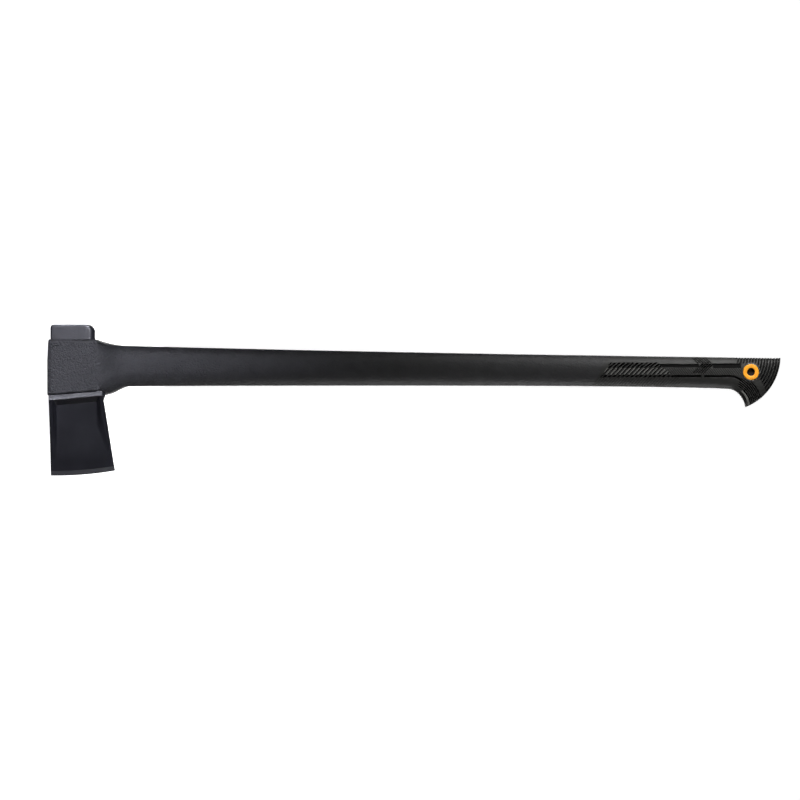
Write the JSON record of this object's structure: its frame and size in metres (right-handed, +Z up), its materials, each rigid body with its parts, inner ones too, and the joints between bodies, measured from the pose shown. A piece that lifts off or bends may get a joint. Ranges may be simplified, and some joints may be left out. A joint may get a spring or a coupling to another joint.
{
  "type": "splitting maul",
  "caption": "Splitting maul with a forged wedge head and flat poll, a long hollow moulded handle, a textured grip with an end hook and a ringed eyelet.",
  "frame": {"origin": "where the handle's axis meets the flat end of the collar, on which the maul stands head down", "axes": "+Z up the handle to the butt, +X to the cutting edge, -X to the poll, Y through the thickness, with XZ as the plane of symmetry"},
  "size_m": [0.1889, 0.06, 0.9148],
  "materials": {
    "head_steel": "satin",
    "handle_nylon": "matte",
    "grip_elastomer": "matte",
    "eyelet_plastic": "satin",
    "plug_plastic": "matte"
  },
  "bodies": {
    "root": {"maul_head": "head_steel", "handle_moulding": "handle_nylon", "grip_sleeve": "grip_elastomer", "eyelet_ring_left": "eyelet_plastic", "eyelet_ring_right": "eyelet_plastic", "eyelet_plug": "plug_plastic"}
  },
  "joints": []
}
